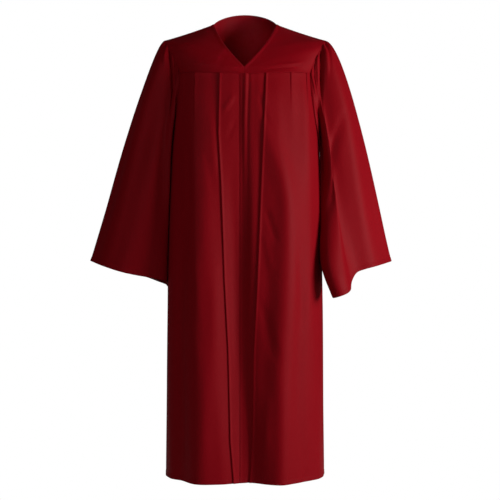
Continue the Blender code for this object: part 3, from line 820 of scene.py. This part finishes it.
def coons(top, bottom, inner, outer, u, v):
    t, b, i, o = top(u), bottom(u), inner(v), outer(v)
    uu, vv = u[None, :, None], v[:, None, None]
    along = (1 - vv) * t[None] + vv * b[None]
    across = (1 - uu) * i[:, None] + uu * o[:, None]
    flat = (1 - vv) * ((1 - uu) * t[0] + uu * t[-1]) + vv * ((1 - uu) * b[0] + uu * b[-1])
    return along + across - flat


def yokeShares(count):
    ends = yokes["endShare"]
    near = np.array([0.0, 0.25, 0.5, 0.75, 1.0]) * ends
    return np.concatenate([near, np.linspace(ends * 1.6, 1 - ends * 1.6, count), 1 - near[::-1]])


def standOut(grid, out):
    return grid + outwardNormals(grid, False) * out[..., None]


def seamLip(distance):
    fade = 1 - smooth(distance / yokes["seamLipWidth"])
    return yokes["seamLip"] * fade * smooth(distance / yokes["edgeStart"])


def neckRoll(distance):
    crest = 0.004
    fade = 1 - smooth((distance - crest) / (yokes["neckRollWidth"] - crest))
    return yokes["neckRoll"] * fade * smooth(distance / yokes["edgeStart"])


def frontYokeGrid(side):
    inner = sideSign[side] * shoulders["yokesMeetX"] + shoulders["seamGap"] / 2
    u, v = yokeShares(yokes["columns"]), yokeShares(yokes["rows"])
    grid = coons(shoulderSeam, yokeBottom("front", inner), vNeckEdge(inner), armholeEdge("front"), u, v)
    grid[0, :, 1] -= shoulders["seamGap"] / 2
    fromBottom = np.linalg.norm(grid - grid[-1:], axis=2)
    fromNeck = np.linalg.norm(grid - grid[:, :1], axis=2)
    uu, vv = np.broadcast_arrays(u[None, :], v[:, None])
    out = creases(yokes["frontCreases"][side], uu, vv)
    out = out + unevenness(uu, vv, *yokes["uneven"][side])
    edgeFade = smooth(np.minimum(np.minimum(uu, 1 - uu), np.minimum(vv, 1 - vv)) / 0.12)
    out = out * edgeFade
    out = out + seamLip(fromBottom)
    aboveV = smooth((0.9 - vv) / 0.08)
    out = out + neckRoll(fromNeck) * aboveV
    grid = standOut(grid, out)
    return grid * np.array([sideSign[side], 1.0, 1.0])


def neckBackEdge(t):
    turn = math.pi / 2 * (1 - t)
    x = shoulders["neckHalfWidth"] * np.cos(turn)
    y = shoulders["neckBackDepth"] * np.sin(turn)
    return np.stack([x, y, shoulders["neckBackRise"] * np.sin(turn) ** 1.25], axis=-1)


def backYokeGrid():
    share = yokes["backNeckShare"]
    onNeckCount, onShoulderCount = yokes["backColumns"]
    half = np.concatenate([np.linspace(0, share, onNeckCount), np.linspace(share, 1, onShoulderCount)[1:]])
    v = yokeShares(yokes["rows"])

    def top(u):
        neck = neckBackEdge(np.clip(u / share, 0, 1))
        seam = shoulderSeam(np.clip((u - share) / (1 - share), 0, 1))
        return np.where((u <= share)[:, None], neck, seam)

    def centreBack(w):
        start = neckBackEdge(np.array([0.0]))[0]
        end = yokeBottom("back", 0.0)(np.array([0.0]))[0]
        y = start[1] + (end[1] - start[1]) * np.sin(math.pi / 2 * w)
        return np.stack([w * 0, y, start[2] + (end[2] - start[2]) * w], axis=-1)

    grid = coons(top, yokeBottom("back", 0.0), centreBack, armholeEdge("back"), half, v)
    # the corner between neck and shoulder eases away below the top edge
    edge = top(half)
    whole = np.concatenate([(edge * np.array([-1.0, 1.0, 1.0]))[:0:-1], edge])
    reach = yokes["easeColumns"]
    window = np.hanning(2 * reach + 1)
    window = window / window.sum()
    whole = np.pad(whole, ((reach, reach), (0, 0)), mode="reflect", reflect_type="odd")
    eased = np.stack([np.convolve(whole[:, i], window, "valid") for i in range(3)], axis=-1)
    down = v[:, None, None]
    grid = grid + (eased[len(half) - 1 :] - edge) * (1 - down) * smooth(down / 0.35)
    grid[0, half >= share, 1] += shoulders["seamGap"] / 2
    grid = np.concatenate([(grid * np.array([-1.0, 1.0, 1.0]))[:, :0:-1], grid], axis=1)
    signed = np.concatenate([-half[:0:-1], half])
    uu, vv = np.broadcast_arrays(signed[None, :], v[:, None])
    out = unevenness(uu, vv, *yokes["uneven"]["back"])
    out = out * smooth(np.minimum(1 - np.abs(uu), np.minimum(vv, 1 - vv)) / 0.12)
    fromBottom = np.linalg.norm(grid - grid[-1:], axis=2)
    fromTop = np.linalg.norm(grid - grid[:1], axis=2)
    out = out + seamLip(fromBottom)
    onNeck = 1 - smooth((np.abs(uu) - share + 0.03) / 0.05)
    out = out + neckRoll(fromTop) * onNeck
    return standOut(grid, out)


for side in ("left", "right"):
    name = f"frontYoke_{side}"
    madePieces[name] = shell(name, frontYokeGrid(side), maroonCloth, seams=(("top", 1), ("bottom", 2)))
madePieces["backYoke"] = shell(
    "backYoke", backYokeGrid(), maroonCloth, seams=(("bottom", 2), ("shoulders", 1))
)
print("yokes ready")


# Sleeves

sleeves = {
    "cuffColumns": ("share", "x", "y", "z"),
    "cuffs": {
        "left": (
            (0.0, 0.417, 0.03, -0.622), (0.1, 0.368, -0.036, -0.638),
            (0.2, 0.314, -0.062, -0.656), (0.3, 0.264, -0.056, -0.673),
            (0.4, 0.227, -0.02, -0.685), (0.5, 0.21, 0.045, -0.692),
            (0.6, 0.228, 0.104, -0.686), (0.7, 0.276, 0.134, -0.67),
            (0.8, 0.338, 0.128, -0.65), (0.9, 0.389, 0.088, -0.632),
        ),
        "right": (
            (0.0, 0.394, 0.008, -0.623), (0.08, 0.345, -0.046, -0.636),
            (0.15, 0.3, -0.064, -0.647), (0.19, 0.28, -0.078, -0.656),
            (0.225, 0.281, -0.098, -0.684), (0.27, 0.268, -0.114, -0.702),
            (0.33, 0.246, -0.112, -0.714), (0.38, 0.232, -0.09, -0.716),
            (0.44, 0.22, -0.046, -0.69), (0.5, 0.214, 0.006, -0.66),
            (0.6, 0.228, 0.07, -0.656), (0.7, 0.262, 0.108, -0.65),
            (0.8, 0.316, 0.112, -0.64), (0.9, 0.363, 0.072, -0.63),
        ),
    },
    # how the cloth leaves the armhole at its top, front and underarm: x, y, z, pull
    "leaves": {
        "left": ((0.9, 0.0, -0.4, 0.13), (0.7, -0.24, -0.66, 0.18), (0.5, 0.0, -0.86, 0.3)),
        "right": ((0.95, 0.0, -0.3, 0.185), (0.74, -0.24, -0.62, 0.2), (0.5, 0.0, -0.86, 0.3)),
    },
    "arrives": {"left": (0.3, 0.0, -0.954), "right": (0.238, 0.0, -0.971)},
    "pullAtCuff": 0.54,
    "gapTop": 0.0005,
    "gapUnderarm": 0.001,
    "clear": 0.001,  # between the sleeve and the body
    "clearDepth": 0.02,
    # how the inner side lies against the body: share, width in front, width behind, where it ends
    "hug": {"left": (0.35, 0.095, 0.17, 1.25), "right": (0.385, 0.085, 0.17, 1.06)},
    "hugDepth": 0.07,
    "uneven": {"left": (51, 0.0007, 0.14, 0.7), "right": (57, 0.0007, 0.14, 0.7)},
    "foldColumns": ("roundTop", "roundCuff", "outTop", "outMid", "outCuff", "width"),
    "folds": {
        "left": (
            (0.1, 0.08, 0.006, 0.006, 0.004, 0.035), (0.17, 0.33, -0.01, -0.007, -0.002, 0.045),
            (0.27, 0.44, 0.007, 0.01, 0.008, 0.05), (0.62, 0.6, -0.006, -0.012, -0.012, 0.05),
            (0.72, 0.71, 0.008, 0.012, 0.012, 0.05), (0.82, 0.83, -0.007, -0.01, -0.01, 0.045),
            (0.92, 0.93, 0.006, 0.008, 0.006, 0.04),
        ),
        "right": (
            (0.09, 0.11, 0.006, 0.008, 0.006, 0.04), (0.17, 0.225, -0.008, -0.007, -0.008, 0.035),
            (0.25, 0.33, 0.004, 0.006, 0.016, 0.045), (0.33, 0.45, -0.006, -0.008, -0.004, 0.045),
            (0.61, 0.6, 0.005, 0.01, 0.011, 0.05), (0.7, 0.7, -0.007, -0.012, -0.013, 0.045),
            (0.81, 0.8, 0.007, 0.011, 0.012, 0.045), (0.9, 0.9, -0.005, -0.007, -0.006, 0.035),
        ),
    },
    "setBack": {"left": (0.33, 0.08, 0.004), "right": (0.31, 0.09, 0.04)},  # share, width, pull
    # creases from share, along to share, along; height; width in share
    "creases": {
        "left": (
            (0.02, 0.0, 0.05, 0.12, -0.0018, 0.007), (0.04, 0.0, 0.08, 0.15, 0.002, 0.008),
            (0.062, 0.0, 0.11, 0.17, -0.0026, 0.008), (0.082, 0.0, 0.135, 0.18, 0.0026, 0.009),
            (0.1, 0.0, 0.285, 0.31, -0.008, 0.013), (0.128, 0.0, 0.215, 0.2, 0.0034, 0.01),
            (0.152, 0.0, 0.23, 0.16, -0.003, 0.009), (0.175, 0.0, 0.25, 0.14, 0.0024, 0.008),
            (0.96, 0.0, 0.94, 0.12, -0.0024, 0.008), (0.935, 0.0, 0.905, 0.14, 0.0026, 0.009),
            (0.905, 0.0, 0.87, 0.15, -0.0032, 0.009), (0.875, 0.0, 0.825, 0.2, 0.003, 0.01),
            (0.845, 0.0, 0.78, 0.26, -0.006, 0.012),
        ),
        "right": (
            (0.018, 0.0, 0.06, 0.13, -0.0016, 0.007), (0.034, 0.0, 0.1, 0.2, 0.0022, 0.008),
            (0.052, 0.0, 0.13, 0.22, -0.0034, 0.01), (0.078, 0.0, 0.15, 0.24, 0.0034, 0.01),
            (0.104, 0.0, 0.225, 0.31, -0.0085, 0.013), (0.132, 0.0, 0.21, 0.2, 0.0046, 0.01),
            (0.158, 0.0, 0.238, 0.15, -0.0046, 0.01), (0.182, 0.0, 0.26, 0.13, 0.003, 0.009),
            (0.11, 0.38, 0.35, 0.72, -0.005, 0.036), (0.965, 0.0, 0.945, 0.13, -0.0026, 0.008),
            (0.94, 0.0, 0.91, 0.16, 0.0028, 0.009), (0.908, 0.0, 0.86, 0.22, -0.0048, 0.01),
            (0.876, 0.0, 0.825, 0.2, 0.0036, 0.01), (0.845, 0.0, 0.79, 0.24, -0.006, 0.012),
        ),
    },
    "columns": 210,
    "rows": 150,
}


def cuffLoop(side, share):
    cuff = columnsOf({"columns": sleeves["cuffColumns"], "rows": sleeves["cuffs"][side]})
    shifts = np.linspace(-0.025, 0.025, 7)
    found = []
    for axis in "xyz":
        near = [np.interp(share + shift, cuff["share"], cuff[axis], period=1.0) for shift in shifts]
        found.append(np.mean(near, axis=0))
    return np.stack(found, axis=-1)


def armholeLoop(share):
    front = armholePoint(2 * math.pi * share, "front")
    back = armholePoint(2 * math.pi * (1 - share), "back")
    return np.where((share <= 0.5)[:, None], front, back)


def leaveDirection(side, share):
    top, front, underarm = np.array(sleeves["leaves"][side])
    back = front * (1.0, -1.0, 1.0, 1.0)
    around = np.linspace(0, 1, 5)
    *direction, pull = (
        np.interp(share, around, values) for values in np.array([top, front, underarm, back, top]).T
    )
    direction = np.stack(direction, axis=-1)
    direction /= np.linalg.norm(direction, axis=1, keepdims=True)
    return direction * pull[:, None]


def sleeveGrid(side):
    f = sleeves
    share = np.arange(f["columns"]) / f["columns"]
    near = np.array([0.0, 0.0025, 0.005, 0.009, 0.014, 0.02])
    along = np.concatenate([near, hemRows(f["rows"], 0.6 - 0.014) / 0.6 + 0.0267])
    along = along / along[-1]
    gap = f["gapTop"] + (f["gapUnderarm"] - f["gapTop"]) * np.sin(math.pi * share) ** 2
    start = armholeLoop(share) + np.stack([gap, gap * 0, gap * 0], axis=-1)
    armholeMiddle = start.mean(axis=0)
    end = cuffLoop(side, share)
    leaves = leaveDirection(side, share)
    arrives = np.array(f["arrives"][side]) * f["pullAtCuff"]
    t = along[:, None, None]
    base = (2 * t**3 - 3 * t**2 + 1) * start[None] + (t**3 - 2 * t**2 + t) * leaves[None]
    base = base + (3 * t**2 - 2 * t**3) * end[None] + (t**3 - t**2) * arrives
    sh, al = np.broadcast_arrays(share[None, :], along[:, None])
    folds = columnsOf({"columns": f["foldColumns"], "rows": f["folds"][side]})
    out = np.zeros(sh.shape)
    for i in range(len(folds["width"])):
        centre = folds["roundTop"][i] + (folds["roundCuff"][i] - folds["roundTop"][i]) * al
        low = folds["outTop"][i] + (folds["outMid"][i] - folds["outTop"][i]) * np.clip(al * 2, 0, 1)
        high = (folds["outCuff"][i] - folds["outMid"][i]) * np.clip(al * 2 - 1, 0, 1)
        apart = (sh - centre + 0.5) % 1.0 - 0.5
        out += (low + high) * np.exp(-((apart / folds["width"][i]) ** 2))
    out = out * smooth(al / 0.1)
    for s0, a0, s1, a1, height, width in f["creases"][side]:
        t1 = (al - a0) / (a1 - a0)
        centre = s0 + (s1 - s0) * t1
        apart = (sh - centre + 0.5) % 1.0 - 0.5
        atEnds = smooth(t1 / 0.1) if a0 == 0 else smooth(t1 / 0.3)
        atEnds = atEnds * smooth((1 - t1) / 0.6)
        out += height * np.exp(-((apart / width) ** 2)) * atEnds
    out += unevenness(sh, al, *f["uneven"][side]) * smooth(al / 0.05)
    length = np.cumsum(np.linalg.norm(np.diff(base, axis=0, prepend=base[:1]), axis=2), axis=0)
    out += hemProfile(length[-1:] - length)
    normal = gridNormals(base, True)
    middle = base.mean(axis=1, keepdims=True)
    outward = np.sign(np.sum(normal * (base - middle)))
    grid = base + normal * outward * out[..., None]
    backAt, backWidth, backPull = f["setBack"][side]
    setBack = np.exp(-(((sh - backAt) / backWidth) ** 2)) * smooth(al / 0.2) * smooth((0.95 - al) / 0.35)
    grid[..., 1] += backPull * setBack
    # the inner side lies close to the body, so that no light shows between them
    hugAt, inFront, behind, hugEnd = f["hug"][side]
    hugging = np.exp(-(((sh - hugAt) / np.where(sh < hugAt, inFront, behind)) ** 2))
    hugging = hugging * smooth(al / 0.05) * smooth((hugEnd - al) / 0.25)
    halfWidth, front, back, power = girthSize(-grid[..., 2])
    depth = np.where(grid[..., 1] < 0, front, back)

    def bodyX(y):
        beside = np.maximum(0.0, 1.0 - (np.abs(y) / (depth + f["clearDepth"])) ** power)
        return (halfWidth + f["clear"]) * beside ** (1 / power)

    grid[..., 0] += (bodyX(np.maximum(grid[..., 1], -f["hugDepth"])) - grid[..., 0]) * hugging
    grid[..., 0] += np.maximum(bodyX(grid[..., 1]) - grid[..., 0], 0.0) * smooth(al / 0.08)
    # a seam allowance inside the armhole, under the edge of the yokes and panels: shift, sink
    inwards = armholeMiddle - start
    inwards[:, 0] = 0.0
    inwards /= np.linalg.norm(inwards, axis=1, keepdims=True)
    for shift, sink in ((0.0012, 0.0013), (0.004, 0.0016)):
        tucked = start + inwards * sink - np.array([shift, 0.0, 0.0])
        grid = np.concatenate([tucked[None], grid])
    return grid * np.array([sideSign[side], 1.0, 1.0])


for side in ("left", "right"):
    name = f"sleeve_{side}Bell"
    madePieces[name] = shell(name, sleeveGrid(side), maroonCloth, closed=True)
    print(name, len(madePieces[name].data.polygons), "faces")


# What each piece stands for

# piece: node, width and length of the cut, its area, how it is held, what it hangs from
cuts = {
    "frontPanel_left": ("front_panel_left", (0.345, 1.045), 0.338, "hung", ("frontYoke_left",)),
    "frontPanel_right": ("front_panel_right", (0.35, 1.045), 0.345, "hung", ("frontYoke_right",)),
    "backPanel": ("back_panel", (0.62, 1.045), 0.609, "gathered", ("backYoke",)),
    "frontYoke_left": ("front_yoke_left", (0.215, 0.152), 0.0243, "hung", ("backYoke",)),
    "frontYoke_right": ("front_yoke_right", (0.215, 0.152), 0.0248, "hung", ("backYoke",)),
    "backYoke": ("back_yoke", (0.43, 0.205), 0.0727, "hung", ()),
    "sleeve_leftBell": ("sleeve_left", (0.66, 0.66), 0.283, "gathered", ("backYoke", "frontYoke_left")),
    "sleeve_rightBell": (
        "sleeve_right", (0.66, 0.66), 0.28, "gathered", ("backYoke", "frontYoke_right"),
    ),
}

for piece, (node, flat, area, held, above) in cuts.items():
    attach(madePieces[piece], "root")
    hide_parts(node)


# Studio

studio = {
    "cameraAt": (0.013, -3.0, -0.595),
    "lens": 36 * 3.0 / 1.32,
    "floorDrop": 0.25,
    "floorRadius": 9.0,
    "keyAt": (1.9, -1.02, -0.28),
    "keySize": 0.8,
    "keyPower": 52.0,
    "fillAt": (-1.3, -2.6, 0.55),
    "fillSize": 1.6,
    "fillPower": 18.0,
    "backAt": (-0.1, 2.7, 0.4),
    "backSize": 0.8,
    "backPower": 62.0,
    "neckAt": (-0.1, -2.7, -0.1),  # a narrow light that reaches the inside of the back yoke
    "neckAim": (0.0, 0.07, -0.03),
    "neckSize": 0.12,
    "neckSpread": 0.11,
    "neckPower": 0.03,
    "ambient": 0.034,
}


def areaLight(name, at, size, power, towards=(0.0, 0.0, -0.55)):
    lamp = bpy.data.lights.new(name, "AREA")
    lamp.energy = power
    lamp.size = size
    holder = bpy.data.objects.new(name, lamp)
    holder.location = at
    holder.rotation_euler = (Vector(towards) - Vector(at)).to_track_quat("-Z", "Y").to_euler()
    bpy.context.scene.collection.objects.link(holder)
    return holder


areaLight("keyLight", studio["keyAt"], studio["keySize"], studio["keyPower"])
areaLight("fillLight", studio["fillAt"], studio["fillSize"], studio["fillPower"])
areaLight("backLight", studio["backAt"], studio["backSize"], studio["backPower"])
neckLight = areaLight(
    "neckLight", studio["neckAt"], studio["neckSize"], studio["neckPower"], studio["neckAim"]
)
neckLight.data.spread = studio["neckSpread"]


def paleStudio(nodes, links, lit):
    # white to the camera, so that the floor has no horizon, and dim as a source of light
    seen = nodes.new("ShaderNodeEmission") if lit.type != "BACKGROUND" else nodes.new("ShaderNodeBackground")
    seen.inputs["Color"].default_value = (1.0, 1.0, 1.0, 1.0)
    seen.inputs["Strength"].default_value = 1.0
    rays = nodes.new("ShaderNodeLightPath")
    blend = nodes.new("ShaderNodeMixShader")
    links.new(rays.outputs["Is Camera Ray"], blend.inputs[0])
    links.new(lit.outputs[0], blend.inputs[1])
    links.new(seen.outputs[0], blend.inputs[2])
    return blend.outputs[0]


paleFloor = bpy.data.materials.new("paleFloor")
paleFloor.use_nodes = True
floorNodes, floorLinks = paleFloor.node_tree.nodes, paleFloor.node_tree.links
floorShader = floorNodes["Principled BSDF"]
floorShader.inputs["Base Color"].default_value = (0.5, 0.5, 0.49, 1.0)
floorShader.inputs["Roughness"].default_value = 0.8
floorLit = paleStudio(floorNodes, floorLinks, floorShader)
floorLinks.new(floorLit, floorNodes["Material Output"].inputs["Surface"])
floorDisc = bmesh.new()
bmesh.ops.create_circle(floorDisc, cap_ends=True, segments=96, radius=studio["floorRadius"])
floorMesh = bpy.data.meshes.new("studioFloor")
floorDisc.to_mesh(floorMesh)
floorDisc.free()
studioFloor = bpy.data.objects.new("studioFloor", floorMesh)
studioFloor.location.z = -girth["hemDrop"] - studio["floorDrop"]
studioFloor.data.materials.append(paleFloor)
bpy.context.scene.collection.objects.link(studioFloor)

world = bpy.data.worlds.new("studioAir")
world.use_nodes = True
worldNodes, worldLinks = world.node_tree.nodes, world.node_tree.links
air = worldNodes["Background"]
air.inputs["Color"].default_value = (1.0, 1.0, 1.0, 1.0)
air.inputs["Strength"].default_value = studio["ambient"]
worldLinks.new(paleStudio(worldNodes, worldLinks, air), worldNodes["World Output"].inputs["Surface"])
bpy.context.scene.world = world
bpy.context.scene.view_settings.view_transform = "Standard"

camera = bpy.data.cameras.new("frontCamera")
camera.lens = studio["lens"]
cameraHolder = bpy.data.objects.new("frontCamera", camera)
cameraHolder.location = studio["cameraAt"]
cameraHolder.rotation_euler = (math.pi / 2, 0.0, 0.0)
bpy.context.scene.collection.objects.link(cameraHolder)
bpy.context.scene.camera = cameraHolder
print("studio ready")
